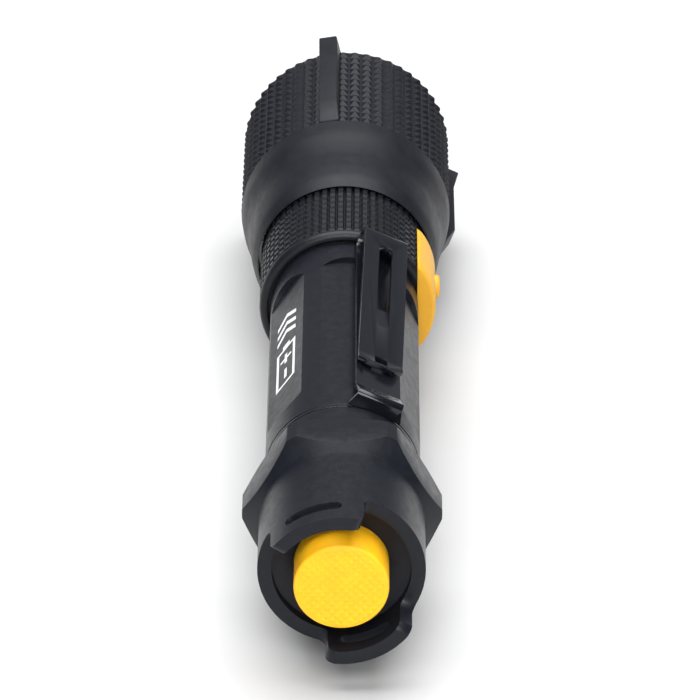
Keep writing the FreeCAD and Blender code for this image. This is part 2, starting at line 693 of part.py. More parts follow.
def slide_ring():
    """Split low-friction ring: it slides on the neck's barrel and the head turns on it."""
    end = SLIDE_RING_Y + SLIDE_RING_L
    body = ring(SLIDE_RING_Y, end, BARREL_R + SLIDE_RING_FIT, SLIDE_RING_R)
    return body.cut(block(0, FAR, SLIDE_RING_Y - 1, end + 1, -SLIDE_SPLIT / 2, SLIDE_SPLIT / 2))


def lens():
    """Plano-convex condenser lens with a flat rim."""
    back = LENS_SEAT_Y + GAP
    rim_end = back + LENS_EDGE_T
    ball_r = (LENS_DOME_R ** 2 + LENS_SAG ** 2) / (2 * LENS_SAG)
    ball = Part.makeSphere(ball_r, V(0, rim_end + LENS_SAG - ball_r, 0))
    dome = ball.common(rod(rim_end, rim_end + FAR, LENS_R))
    return rod(back, rim_end, LENS_R).fuse(dome).removeSplitter()


def lens_oring():
    return groove_ring(LENS_SEAT_Y + LENS_EDGE_T + 2 * GAP + LENS_ORING_WIRE_R, LENS_ORING_R, LENS_ORING_WIRE_R)


def lens_ring():
    """Threaded ring that clamps the lens."""
    bore_rear, bore_front = LENS_RING_BORE_R
    end = FRONT_BORE_Y - GAP
    outside = LENS_POCKET_R - GAP
    body = turned([
        (LENS_RING_Y, bore_rear), (LENS_RING_Y, outside), (end, outside), (end, bore_front),
        (LENS_RING_BEVEL_Y, bore_rear),
    ])
    return notched(body, end, bore_rear, outside, LENS_RING_NOTCH, LENS_NOTCH_HALF_W)


# ---------------------------------------------------------------- pocket clip
def pocket_clip():
    """Spring-steel clip: washer under the cap, riser, inner leaf, hairpin and outer leaf."""
    half_t = CLIP_T / 2
    half_w = CLIP_W / 2
    washer_end = CLIP_WASHER_Y + CLIP_WASHER_T
    mid_y = (CLIP_WASHER_Y + washer_end) / 2
    bend_in, bend_out = CLIP_BEND_X
    path = rounded_path([
        V(CLIP_ROOT_X, mid_y, 0), V(CLIP_RISER_X, mid_y, 0), V(CLIP_LEAF_X, CLIP_LEAF_Y, 0),
        V(bend_in, CLIP_BEND_Y, 0), V(bend_out, CLIP_BEND_Y, 0), V(*CLIP_TOUCH, 0), V(*CLIP_TIP, 0),
    ], CLIP_BEND_RADII)
    corners = []
    for y, z in ((-half_t, -half_w), (half_t, -half_w), (half_t, half_w), (-half_t, half_w)):
        corners.append(V(CLIP_ROOT_X, mid_y + y, z))
    section = Part.makePolygon(corners + corners[:1])
    strap = path.makePipeShell([section], True, False)
    strap = strap.cut(block(0, CLIP_RISER_X - half_t, 0, CLIP_WASHER_Y, -FAR, FAR))
    strap = strap.cut(block(0, CLIP_SHOULDER_R, washer_end, washer_end + 3, -FAR, FAR))
    root, top = CLIP_FLARE_HALF_W, half_w
    outline = [
        V(CLIP_ROOT_X, CLIP_WASHER_Y, -root), V(CLIP_FLARE_X, CLIP_WASHER_Y, -top),
        V(CLIP_FLARE_X, CLIP_WASHER_Y, top), V(CLIP_ROOT_X, CLIP_WASHER_Y, root),
    ]
    flare = Part.Face(Part.makePolygon(outline + outline[:1])).extrude(V(0, CLIP_WASHER_T, 0))
    mid_x = (bend_in + bend_out) / 2
    window = slot_plan(*CLIP_WINDOW_Y, CLIP_WINDOW_HALF_W, CLIP_WINDOW_HALF_W + 0.001, mid_x, FAR)
    under_leaf = CLIP_TOUCH[0] - half_t - GAP
    hole = block(under_leaf, FAR, *CLIP_HOLE_Y, -CLIP_HOLE_HALF_W, CLIP_HOLE_HALF_W)
    end_y = CLIP_TIP[1] - half_t
    tip = block(under_leaf, FAR, end_y - 1, end_y + half_w / 2, -half_w - 1, half_w + 1)
    tip = tip.cut(radial_rod(0, FAR, end_y + CLIP_END_R, CLIP_END_R))
    strap = at_angle(strap.cut(window).cut(hole).cut(tip).fuse(flare), CLIP_DEG)
    strap = strap.cut(rod(0, washer_end + 1, SPIGOT_R + GAP))
    washer = ring(CLIP_WASHER_Y, washer_end, SPIGOT_R + GAP, CAP_FRONT_R - GAP)
    return washer.fuse(strap).removeSplitter()


NODES = [
    tail_cap, tail_button, switch_plunger, switch_spring, switch_housing, switch_board, switch_retainer,
    tail_spring, tail_seal, battery_tube, cell_can, cell_wrap, cell_cap, neck, neck_oring, tube_oring,
    stop_ring, heatsink, driver_board, driver_spring, lamp_board, lamp_chip, side_boot, side_button,
    side_switch, side_board, head_grip, head_barrel, slide_ring, lens, lens_oring, lens_ring, pocket_clip,
]


def main():
    os.makedirs(OUT, exist_ok=True)
    for make in NODES:
        save(make.__name__, make())


main()
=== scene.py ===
"""Tactical flashlight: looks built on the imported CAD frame. Metres, +Y towards the lamp, +Z up."""
import json
import math

import bmesh
import bpy
import numpy as np
from mathutils import Matrix, Vector


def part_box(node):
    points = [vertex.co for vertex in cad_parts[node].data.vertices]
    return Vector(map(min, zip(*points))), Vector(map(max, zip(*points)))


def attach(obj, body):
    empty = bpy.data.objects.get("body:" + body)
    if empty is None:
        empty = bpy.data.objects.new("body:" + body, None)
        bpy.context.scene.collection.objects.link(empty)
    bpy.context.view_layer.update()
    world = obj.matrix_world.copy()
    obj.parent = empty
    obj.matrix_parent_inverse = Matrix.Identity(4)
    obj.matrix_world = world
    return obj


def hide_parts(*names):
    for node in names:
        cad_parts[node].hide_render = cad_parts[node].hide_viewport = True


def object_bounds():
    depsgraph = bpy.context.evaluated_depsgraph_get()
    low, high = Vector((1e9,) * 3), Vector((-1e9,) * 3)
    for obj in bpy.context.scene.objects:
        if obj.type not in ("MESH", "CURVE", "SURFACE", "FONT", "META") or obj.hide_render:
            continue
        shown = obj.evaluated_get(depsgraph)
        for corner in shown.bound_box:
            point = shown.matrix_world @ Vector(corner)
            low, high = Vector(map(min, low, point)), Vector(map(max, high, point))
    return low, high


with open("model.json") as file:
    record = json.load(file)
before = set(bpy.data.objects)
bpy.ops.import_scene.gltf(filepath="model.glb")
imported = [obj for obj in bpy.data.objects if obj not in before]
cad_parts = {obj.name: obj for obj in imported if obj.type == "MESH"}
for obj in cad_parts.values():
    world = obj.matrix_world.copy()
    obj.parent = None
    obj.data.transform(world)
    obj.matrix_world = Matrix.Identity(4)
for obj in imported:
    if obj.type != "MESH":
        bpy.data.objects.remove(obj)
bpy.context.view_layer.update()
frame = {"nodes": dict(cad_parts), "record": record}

NODES = frame["nodes"]
MM = 0.001
NEAR_AXIS = 0.02          # innermost ring of a turned shape, too small to see

# ---------------------------------------------------------------- dimensions, in millimetres
HEAD_REAR_Y, HEAD_FRONT_Y = (c.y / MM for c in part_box("head_grip"))
NECK_REAR_Y, NECK_FRONT_Y = (c.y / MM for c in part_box("neck"))
BUTTON_FACE_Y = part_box("tail_button")[0].y / MM
BOOT_REAR_Y, BOOT_FRONT_Y = (c.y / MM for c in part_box("side_boot"))
BOOT_TOP_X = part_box("side_boot")[1].x / MM
KEY_TOP_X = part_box("side_button")[1].x / MM

# head grip: flared bell, knurled bezel and fins
BEZEL_R = 18.06
BELL_END_Y = 121.8
BELL_PROFILE = ((103.3, 14.95), (105.3, 15.65), (107.5, 16.02), (110.2, 16.3), (113.0, 16.55),
                (115.5, 16.98), (118.5, 17.62), (121.8, 18.0))
BELL_POINTS = 48
HEAD_BORE_R = 14.75
HEAD_BORE_END_Y = 106.75
WIDE_BORE_R = 15.5
WIDE_BORE_END_Y = 116.0
CORE_R = 16.65
RIM_LIP = 0.7
BEZEL_COLUMNS, BEZEL_ROWS, BEZEL_DEPTH = 53, 13, 0.6
FIN_DEGS = (99.0, 219.0, 339.0)
FIN_FOOT_R = 16.9
FIN_ROOT_HALF_W = 1.875
FIN_DRAFT = 0.0823         # narrowing of each side per millimetre of height
FIN_CREST = ((121.9, 18.2), (127.0, 19.85), (143.7, 19.85), (HEAD_FRONT_Y, 20.85))
FIN_EDGE = 0.22

# neck sleeve: rear bore and skirt, knurl, plain barrel with its two ring grooves
NECK_R = 14.25
NECK_COLUMNS, NECK_ROWS, NECK_DEPTH = 64, 10, 0.5
SKIRT_BORE_R = 13.0
SKIRT_END_Y = 88.0
NECK_RIM = 1.0
THREAD_R = 11.45
THREAD_END_Y = 89.3
NECK_BORE_R = 11.6
KNURL_Y = (87.8, 106.7)
BARREL_R = 14.0
BARREL_EDGE = 0.5
RING_GROOVES = ((119.5, 120.5, 13.4), (121.6, 123.2, 13.1))

# side pad and key
PAD_MID_Y = (BOOT_REAR_Y + BOOT_FRONT_Y) / 2
PAD_HALF_Y = (BOOT_FRONT_Y - BOOT_REAR_Y) / 2
PAD_HALF_Z = 8.1
PAD_CORNER_R = 0.8
PAD_SEAT_X = 12.2
PAD_ARC_R = 12.6
PAD_EDGE_R = 0.7
PAD_LIP = (0.22, 0.5)      # dip of the skin round the key, and how far out it runs
KEY_Y = sum(c.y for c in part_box("side_button")) / 2 / MM
KEY_BORE_R = 2.05
KEY_STEM_R = 1.95
KEY_FLANGE_X = (10.6, 11.2)
KEY_FLANGE_R = 2.9
KEY_STEM_END_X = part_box("side_button")[0].x / MM

# tail button
BUTTON_R = 7.35
BUTTON_FACE_R = 6.85
BUTTON_EDGE_R = 0.45
BUTTON_LIP_Y = (3.85, 4.85)
BUTTON_LIP_R = 8.95
BUTTON_BORE_R = 5.75
BUTTON_BORE_Y = -3.5
GRAIN_PITCH = 1.03
GRAIN_DEPTH = 0.12

# printed mark
FLAT_DEG = 144.9
FLAT_X = 12.35 * math.cos(math.radians(22.4))
PRINT_T = 0.012
CELL_OUTLINE_Y = (48.0, 60.6)
CELL_OUTLINE_HALF_W = 2.6
CELL_LINE = 0.65
MINUS_Y, PLUS_Y = 51.7, 56.7
SIGN_HALF, SIGN_LINE = 1.5, 0.7
CHEVRON_Y, CHEVRON_PITCH = 63.6, 2.7


# ---------------------------------------------------------------- mesh helpers
def new_object(name, verts_mm, faces, smooth_deg=None):
    """A mesh object from millimetre vertices; edges sharper than smooth_deg stay crisp."""
    mesh = bpy.data.meshes.new(name)
    mesh.from_pydata((np.asarray(verts_mm) * MM).tolist(), [], [list(map(int, f)) for f in faces])
    mesh.validate()
    obj = bpy.data.objects.new(name, mesh)
    bpy.context.scene.collection.objects.link(obj)
    bm = bmesh.new()
    bm.from_mesh(mesh)
    bmesh.ops.recalc_face_normals(bm, faces=bm.faces)
    bm.to_mesh(mesh)
    bm.free()
    if smooth_deg is not None:
        crisp(obj, smooth_deg)
    return obj


def crisp(obj, degrees):
    """Smooth shading that breaks at edges sharper than the angle."""
    obj.data.set_sharp_from_angle(angle=math.radians(degrees))
    for polygon in obj.data.polygons:
        polygon.use_smooth = True


def bake(obj):
    """Applies the object's modifiers."""
    graph = bpy.context.evaluated_depsgraph_get()
    mesh = bpy.data.meshes.new_from_object(obj.evaluated_get(graph))
    obj.modifiers.clear()
    obj.data = mesh
    return obj


TURNED_WITHIN_DEG = 5     # a face this close to radial belongs to the turned surface
FLAT_END_SPREAD = 0.2     # faces across the axis keep their own normals
AXIS_CLEAR_M = 0.004


def turned_normals(obj):
    """Exact shading on the faces of a turned body: narrow strips round the axis get radial normals."""
    mesh = obj.data
    corners = len(mesh.loops)
    normals = np.empty(corners * 3)
    mesh.corner_normals.foreach_get("vector", normals)
    normals = normals.reshape(-1, 3)
    vertex = np.empty(corners, int)
    mesh.loops.foreach_get("vertex_index", vertex)
    points = np.empty(len(mesh.vertices) * 3)
    mesh.vertices.foreach_get("co", points)
    points = points.reshape(-1, 3)[vertex]
    sizes = np.empty(len(mesh.polygons), int)
    mesh.polygons.foreach_get("loop_total", sizes)
    flat = np.empty(len(mesh.polygons) * 3)
    mesh.polygons.foreach_get("normal", flat)
    face = np.repeat(np.arange(len(sizes)), sizes)
    flat = flat.reshape(-1, 3)[face]
    reach = np.maximum(np.hypot(points[:, 0], points[:, 2]), 1e-9)
    out = points[:, [0, 2]] / reach[:, None]
    spread = np.hypot(flat[:, 0], flat[:, 2])
    along = flat[:, 0] * out[:, 0] + flat[:, 2] * out[:, 1]
    off = np.abs(along) < spread * math.cos(math.radians(TURNED_WITHIN_DEG))
    off |= (spread < FLAT_END_SPREAD) | (reach < AXIS_CLEAR_M)
    mixed = np.zeros(len(sizes), bool)
    np.logical_or.at(mixed, face, off)
    turned = ~mixed[face]
    side = np.sign(along)[:, None] * out * spread[:, None]
    normals[turned] = np.stack([side[:, 0], flat[:, 1], side[:, 1]], -1)[turned]
    mesh.normals_split_custom_set(normals.tolist())


def bevel(obj, width_mm, segments, angle_deg=35):
    """Breaks the edges that are sharper than the angle."""
    mod = obj.modifiers.new("edge", "BEVEL")
    mod.width = width_mm * MM
    mod.segments = segments
    mod.limit_method = "ANGLE"
    mod.angle_limit = math.radians(angle_deg)
    mod.harden_normals = False
    return bake(obj)


def ring_faces(rows, cols):
    """Quads between neighbouring rows of points, closed both ways like a torus."""
    rr, cc = np.meshgrid(np.arange(rows), np.arange(cols), indexing="ij")
    r1 = (rr + 1) % rows
    c1 = (cc + 1) % cols
    quads = np.stack([rr * cols + cc, rr * cols + c1, r1 * cols + c1, r1 * cols + cc], -1)
    return quads.reshape(-1, 4)


def around(y, r, theta):
    """Points at radius r and height y along the axis."""
    y, r, theta = np.broadcast_arrays(y, r, theta)
    return np.stack([r * np.cos(theta), y, r * np.sin(theta)], -1)


def arc_points(y0, r0, y1, r1, bulge, count=5):
    """Points of a rounded corner from (y0, r0) to (y1, r1), pushed out towards bulge."""
    t = np.linspace(0, 1, count)
    by, br = bulge
    y = (1 - t) ** 2 * y0 + 2 * t * (1 - t) * by + t ** 2 * y1
    r = (1 - t) ** 2 * r0 + 2 * t * (1 - t) * br + t ** 2 * r1
    return list(zip(y, r))


def ramp(distance, start, end):
    """0 before start, 1 after end, smooth between."""
    t = np.clip((distance - start) / (end - start), 0, 1)
    return t * t * (3 - 2 * t)


def cell_coordinates(count, foot, crest):
    """Sample positions along a row of pyramids, and the profile there: 0 foot, 1 crest."""
    stops = (np.arange(count)[:, None] + np.array([[foot, crest, 1 - crest, 1 - foot]])).ravel()
    return stops, np.tile([0.0, 1.0, 1.0, 0.0], count)


def pyramid_faces(height):
    """Faces of a closed grid; quads with one raised corner are split along the ridge."""
    quads = ring_faces(*height.shape)
    h = height.ravel()[quads]
    first = (h[:, 0] != h[:, 2]) & (h[:, 1] == h[:, 3])
    second = (h[:, 1] != h[:, 3]) & (h[:, 0] == h[:, 2])
    faces = quads[~(first | second)].tolist()
    for cut, (a, b, c, d) in ((first, (0, 1, 2, 3)), (second, (1, 2, 3, 0))):
        ridge = quads[cut]
        faces += ridge[:, [a, b, c]].tolist() + ridge[:, [a, c, d]].tolist()
    return faces


def spline_through(points, count):
    """Points along a smooth curve through (y, r) points."""
    ys = np.array([p[0] for p in points])
    rs = np.array([p[1] for p in points])
    y = np.linspace(ys[0], ys[-1], count)
    slopes = np.gradient(rs, ys)
    k = np.clip(np.searchsorted(ys, y) - 1, 0, len(ys) - 2)
    h = ys[k + 1] - ys[k]
    t = (y - ys[k]) / h
    a = 2 * t ** 3 - 3 * t ** 2 + 1
    b = t ** 3 - 2 * t ** 2 + t
    c = -2 * t ** 3 + 3 * t ** 2
    d = t ** 3 - t ** 2
    r = a * rs[k] + b * h * slopes[k] + c * rs[k + 1] + d * h * slopes[k + 1]
    return list(zip(y, r))


def knurled_lathe(name, before, band, after, columns, rows, depth, column_cut, row_cut, row_foot=0.0):
    """A closed turned shape whose band (y0, y1, r) carries moulded pyramids.
    before and after are the plain (y, r) points of the outline either side of the band, and
    row_foot is how far the cuts between rows stay above the cuts between columns, 0 to 1."""
    u, u_profile = cell_coordinates(columns, *column_cut)
    theta = u / columns * 2 * math.pi
    v, v_profile = cell_coordinates(rows, *row_cut)
    y0, y1, crest_r = band
    band_y = y0 + v / rows * (y1 - y0)
    v_profile = row_foot + (1 - row_foot) * v_profile
    v_profile[[0, -1]] = 0.0
    crest = np.minimum(u_profile[None, :], v_profile[:, None])
    band_r = crest_r - depth * (1 - crest)
    rings = [around(y, r, theta) for y, r in before]
    rings += [around(y, r, theta) for y, r in zip(band_y, band_r)]
    rings += [around(y, r, theta) for y, r in after]
    plain = [np.zeros((len(points), len(theta))) for points in (before, after)]
    height = np.concatenate([plain[0], crest, plain[1]])
    return new_object(name, np.concatenate(rings), pyramid_faces(height), 22)


def rounded_rectangle(half_y, half_z, corner_r, count):
    """Points round a rounded rectangle, evenly spaced by angle about its middle."""
    phi = np.arange(count) / count * 2 * math.pi
    dy, dz = np.cos(phi), np.sin(phi)
    reach = np.full(count, np.inf)
    reach = np.minimum(reach, half_y / np.maximum(np.abs(dy), 1e-9))
    reach = np.minimum(reach, half_z / np.maximum(np.abs(dz), 1e-9))
    y, z = dy * reach, dz * reach
    cy, cz = half_y - corner_r, half_z - corner_r
    in_corner = (np.abs(y) > cy) & (np.abs(z) > cz)
    b = np.abs(dy) * cy + np.abs(dz) * cz
    c = cy ** 2 + cz ** 2 - corner_r ** 2
    corner_reach = b + np.sqrt(np.maximum(b * b - c, 0))
    reach = np.where(in_corner, corner_reach, reach)
    return dy * reach, dz * reach


# ---------------------------------------------------------------- materials
WORN_METAL = (0.3, 0.3, 0.3)


def material(name, colour, roughness, metallic=0.0, spread=0.06, tint=0.15, scale=900.0,
             bump=0.05, bump_scale=4000.0, streak=None, coat=0.0, subsurface=0.0,
             specular=0.5, wear=0.0):
    """Procedural finish: mottled colour and roughness, fine grain, and optional wear and streaks."""
    mat = bpy.data.materials.new(name)
    mat.use_nodes = True
    nodes, links = mat.node_tree.nodes, mat.node_tree.links
    shader = nodes["Principled BSDF"]
    shader.inputs["Metallic"].default_value = metallic
    shader.inputs["Coat Weight"].default_value = coat
    shader.inputs["Coat Roughness"].default_value = 0.25
    shader.inputs["Specular IOR Level"].default_value = specular
    if subsurface:
        shader.inputs["Subsurface Weight"].default_value = subsurface
        shader.inputs["Subsurface Radius"].default_value = (1.0, 0.45, 0.08)
        shader.inputs["Subsurface Scale"].default_value = 0.0012
    coords = nodes.new("ShaderNodeTexCoord")
    mottle = nodes.new("ShaderNodeTexNoise")
    mottle.inputs["Scale"].default_value = scale
    mottle.inputs["Detail"].default_value = 5.0
    mottle.inputs["Roughness"].default_value = 0.6
    where = coords.outputs["Object"]
    if streak:
        stretch = nodes.new("ShaderNodeMapping")
        stretch.inputs["Scale"].default_value = streak
        links.new(where, stretch.inputs["Vector"])
        links.new(stretch.outputs["Vector"], mottle.inputs["Vector"])
    else:
        links.new(where, mottle.inputs["Vector"])
    dark = [c * (1 - tint) for c in colour]
    light = [min(1.0, c * (1 + tint)) for c in colour]
    ramp_node = nodes.new("ShaderNodeValToRGB")
    ramp_node.color_ramp.elements[0].position = 0.3
    ramp_node.color_ramp.elements[1].position = 0.7
    ramp_node.color_ramp.elements[0].color = (*dark, 1)
    ramp_node.color_ramp.elements[1].color = (*light, 1)
    links.new(mottle.outputs["Fac"], ramp_node.inputs["Fac"])
    rough = nodes.new("ShaderNodeMapRange")
    rough.inputs["From Min"].default_value = 0.3
    rough.inputs["From Max"].default_value = 0.7
    rough.inputs["To Min"].default_value = max(0.02, roughness - spread)
    rough.inputs["To Max"].default_value = min(1.0, roughness + spread)
    links.new(mottle.outputs["Fac"], rough.inputs["Value"])
    links.new(rough.outputs["Result"], shader.inputs["Roughness"])
    base = ramp_node.outputs["Color"]
    if wear:
        scuffs = nodes.new("ShaderNodeTexNoise")
        scuffs.inputs["Scale"].default_value = 260.0
        scuffs.inputs["Detail"].default_value = 8.0
        scuffs.inputs["Roughness"].default_value = 0.75
        links.new(where, scuffs.inputs["Vector"])
        limit = nodes.new("ShaderNodeMapRange")
        limit.inputs["From Min"].default_value = 0.66
        limit.inputs["From Max"].default_value = 0.74
        limit.inputs["To Max"].default_value = wear
        links.new(scuffs.outputs["Fac"], limit.inputs["Value"])
        mix = nodes.new("ShaderNodeMix")
        mix.data_type = "RGBA"
        links.new(limit.outputs["Result"], mix.inputs["Factor"])
        links.new(base, mix.inputs["A"])
        mix.inputs["B"].default_value = (*WORN_METAL, 1)
        base = mix.outputs["Result"]
    links.new(base, shader.inputs["Base Color"])
    if bump:
        grain = nodes.new("ShaderNodeTexNoise")
        grain.inputs["Scale"].default_value = bump_scale
        grain.inputs["Detail"].default_value = 3.0
        links.new(where, grain.inputs["Vector"])
        relief = nodes.new("ShaderNodeBump")
        relief.inputs["Strength"].default_value = bump
        relief.inputs["Distance"].default_value = 0.0001
        links.new(grain.outputs["Fac"], relief.inputs["Height"])
        links.new(relief.outputs["Normal"], shader.inputs["Normal"])
    return mat


def glass_material(name):
    """Clear, nearly polished glass."""
    mat = material(name, (1, 1, 1), 0.03, spread=0.02, tint=0.0, bump=0.01)
    shader = mat.node_tree.nodes["Principled BSDF"]
    shader.inputs["Transmission Weight"].default_value = 1.0
    shader.inputs["IOR"].default_value = 1.49
    return mat


LATHE = (1.0, 0.08, 1.0)
FINISH = {
    "black_anodised": material("black_anodised", (0.0075, 0.0085, 0.0125), 0.36, tint=0.12,
                               scale=700, bump=0.08, bump_scale=9000, specular=0.22, wear=0.04),
    "neck_black": material("neck_black", (0.0075, 0.0082, 0.011), 0.38, tint=0.15, bump=0.1,
                           bump_scale=7000, specular=0.25),
    "clip_steel": material("clip_steel", (0.005, 0.006, 0.009), 0.17, spread=0.04, tint=0.12, scale=500,
                           bump=0.05, bump_scale=6000, streak=(1, 0.15, 1), specular=0.46),
    "cell_steel": material("cell_steel", (0.60, 0.60, 0.62), 0.3, 1.0, scale=400, streak=LATHE),
    "cell_sleeve": material("cell_sleeve", (0.05, 0.20, 0.45), 0.32, tint=0.08, coat=0.3),
    "nickel": material("nickel", (0.72, 0.70, 0.66), 0.22, 1.0),
    "seal_rubber": material("seal_rubber", (0.012, 0.012, 0.013), 0.55, tint=0.2, bump=0.15),
    "spring_steel": material("spring_steel", (0.62, 0.62, 0.64), 0.25, 1.0, scale=300),
    "bare_aluminium": material("bare_aluminium", (0.78, 0.78, 0.80), 0.34, 1.0, scale=500, streak=LATHE),
    "circuit_board": material("circuit_board", (0.012, 0.11, 0.05), 0.38, tint=0.25, coat=0.2),
    "lamp_board_white": material("lamp_board_white", (0.80, 0.80, 0.78), 0.4, tint=0.04),
    "lamp_phosphor": material("lamp_phosphor", (0.92, 0.74, 0.10), 0.3, tint=0.06, coat=0.8),
    "yellow_silicone": material("yellow_silicone", (1.0, 0.485, 0.006), 0.50, tint=0.06, scale=350,
                                bump=0.12, bump_scale=5000, subsurface=0.25, specular=0.4),
    "black_plastic": material("black_plastic", (0.022, 0.022, 0.024), 0.5, tint=0.2, bump=0.15),
    "brass_ring": material("brass_ring", (0.75, 0.53, 0.22), 0.3, 1.0, scale=500, streak=LATHE),
    "gold_contact": material("gold_contact", (0.90, 0.66, 0.28), 0.2, 1.0),
    "slide_plastic": material("slide_plastic", (0.72, 0.71, 0.66), 0.45, tint=0.05),
    "grip_rubber": material("grip_rubber", (0.0075, 0.0078, 0.0115), 0.46, tint=0.18, scale=500,
                            bump=0.16, bump_scale=5200, specular=0.22),
    "lens_glass": glass_material("lens_glass"),
}
# Darker copy of the yellow silicone for the side pad and key: painted shade, the same silicone as the tail
# button
PAD_SILICONE_PAINTED_SHADE = material("pad_silicone_painted_shade", (0.76, 0.39, 0.022), 0.50, tint=0.06, scale=350, bump=0.12,
                        bump_scale=5000, subsurface=0.25, specular=0.4)
MARK = material("printed_mark", (0.80, 0.80, 0.80), 0.55, tint=0.06, scale=2500, bump=0.05)
FLOOR = material("studio_floor", (0.54, 0.54, 0.54), 0.75, tint=0.01, scale=30, bump=0.0)


def finish(obj, slot_name, look=None):
    """Gives a piece the material of its slot, or another look in place of it."""
    obj.data.materials.clear()
    obj.data.materials.append(look or FINISH[slot_name])


slots = {part["node"]: part["material_slot"] for part in frame["record"]["subparts"]}
for node_name, node in NODES.items():
    node.data.materials.clear()
    node.data.materials.append(FINISH[slots[node_name]])


# ---------------------------------------------------------------- head grip
def make_grip():
    """Bell, knurled band, rolled rim, and the stepped bore that takes the metal core."""
    foot_r = BEZEL_R - BEZEL_DEPTH
    band_start, band_end = BELL_END_Y + 0.2, HEAD_FRONT_Y - 0.1
    lip_y = HEAD_FRONT_Y - RIM_LIP
    before = [(HEAD_REAR_Y + 1.2, HEAD_BORE_R), (HEAD_REAR_Y, HEAD_BORE_R)]
    before += spline_through(BELL_PROFILE, BELL_POINTS)
    before += [(BELL_END_Y + 0.1, BEZEL_R - 0.1), (band_start, foot_r)]
    after = [(band_end, foot_r), (HEAD_FRONT_Y, foot_r - 0.1), (HEAD_FRONT_Y, CORE_R + 0.25),
             (band_end, CORE_R), (lip_y, CORE_R - 0.6), (lip_y, CORE_R), (WIDE_BORE_END_Y, CORE_R),
             (WIDE_BORE_END_Y, WIDE_BORE_R), (HEAD_BORE_END_Y, WIDE_BORE_R), (HEAD_BORE_END_Y, HEAD_BORE_R)]
    obj = knurled_lathe("grip", before, (band_start, band_end, BEZEL_R), after,
                        BEZEL_COLUMNS, BEZEL_ROWS, BEZEL_DEPTH, (0.08, 0.42), (0.04, 0.44))
    finish(obj, "grip_rubber")
    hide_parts("head_grip")
    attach(obj, "head")


def make_fin(index, degrees):
    """One fin with drafted sides and softly broken edges."""
    outline = [(FIN_CREST[0][0], FIN_FOOT_R), *FIN_CREST, (FIN_CREST[-1][0], FIN_FOOT_R)]
    verts = [(r, y, side * (FIN_ROOT_HALF_W - FIN_DRAFT * (r - FIN_FOOT_R)))
             for side in (-1, 1) for y, r in outline]
    n = len(outline)
    faces = [list(range(n)), list(range(n, 2 * n))]
    faces += [[k, (k + 1) % n, n + (k + 1) % n, n + k] for k in range(n)]
    obj = new_object("grip_fin_%d" % index, verts, faces)
    bevel(obj, FIN_EDGE, 4)
    crisp(obj, 40)
    obj.data.transform(Matrix.Rotation(-math.radians(degrees), 4, "Y"))
    finish(obj, "grip_rubber")
    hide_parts("head_grip")
    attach(obj, "head")


# ---------------------------------------------------------------- neck
def box_cutter(name, low, high):
    """A box between two corners, to be cut away from a piece."""
    verts = [(x, y, z) for x in (low[0], high[0]) for y in (low[1], high[1]) for z in (low[2], high[2])]
    faces = [(0, 1, 3, 2), (4, 5, 7, 6), (0, 1, 5, 4), (2, 3, 7, 6), (0, 2, 6, 4), (1, 3, 7, 5)]
    return new_object(name, verts, faces)


def cut_away(obj, cutter):
    """Cuts the cutter out of the object and removes the cutter."""
    mod = obj.modifiers.new("cut", "BOOLEAN")
    mod.operation = "DIFFERENCE"
    mod.solver = "EXACT"
    mod.object = cutter
    bake(obj)
    bpy.data.objects.remove(cutter)


def make_neck():
    """Knurled sleeve with a rounded rear rim and two ring grooves, cut for the pad and the key."""
    foot_r = NECK_R - NECK_DEPTH
    before = [(SKIRT_END_Y, THREAD_R), (SKIRT_END_Y, SKIRT_BORE_R), (NECK_REAR_Y, SKIRT_BORE_R)]
    before += arc_points(NECK_REAR_Y, SKIRT_BORE_R + 0.3, NECK_REAR_Y + NECK_RIM, NECK_R,
                         (NECK_REAR_Y + 0.1, NECK_R - 0.1), 6)
    before += [(KNURL_Y[0] - 0.1, NECK_R), (KNURL_Y[0], foot_r)]
    after = [(KNURL_Y[1] + 0.05, foot_r), (KNURL_Y[1] + 0.3, BARREL_R)]
    for rear, front, r in RING_GROOVES:
        after += [(rear, BARREL_R), (rear, r), (front, r), (front, BARREL_R)]
    after += [(NECK_FRONT_Y - BARREL_EDGE, BARREL_R), (NECK_FRONT_Y, BARREL_R - BARREL_EDGE),
              (NECK_FRONT_Y, NECK_BORE_R), (THREAD_END_Y, NECK_BORE_R), (THREAD_END_Y, THREAD_R)]
    obj = knurled_lathe("neck_sleeve", before, (*KNURL_Y, NECK_R), after, NECK_COLUMNS, NECK_ROWS,
                        NECK_DEPTH, (0.04, 0.22), (0.10, 0.28), row_foot=0.35)
    seat_low = (PAD_SEAT_X - 0.05, NECK_REAR_Y - 6.4, -20.0)
    cut_away(obj, box_cutter("seat_cutter", seat_low, (20.0, BOOT_FRONT_Y + 0.05, 20.0)))
    shaft = [(5.0, NEAR_AXIS), (5.0, KEY_BORE_R), (16.0, KEY_BORE_R), (16.0, NEAR_AXIS)]
    cut_away(obj, round_piece("key_cutter", shaft, 48))
    crisp(obj, 22)
    finish(obj, "neck_black")
    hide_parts("neck")
    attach(obj, "barrel")


# ---------------------------------------------------------------- side pad and key
def round_piece(name, outline, count, smooth_deg=None):
    """A turned shape about the key's axis, from (x, r) points."""
    theta = np.arange(count) / count * 2 * math.pi
    grid = [np.stack([np.full(count, x), KEY_Y + r * np.cos(theta), r * np.sin(theta)], -1)
            for x, r in outline]
    return new_object(name, np.concatenate(grid), ring_faces(len(outline), count), smooth_deg)


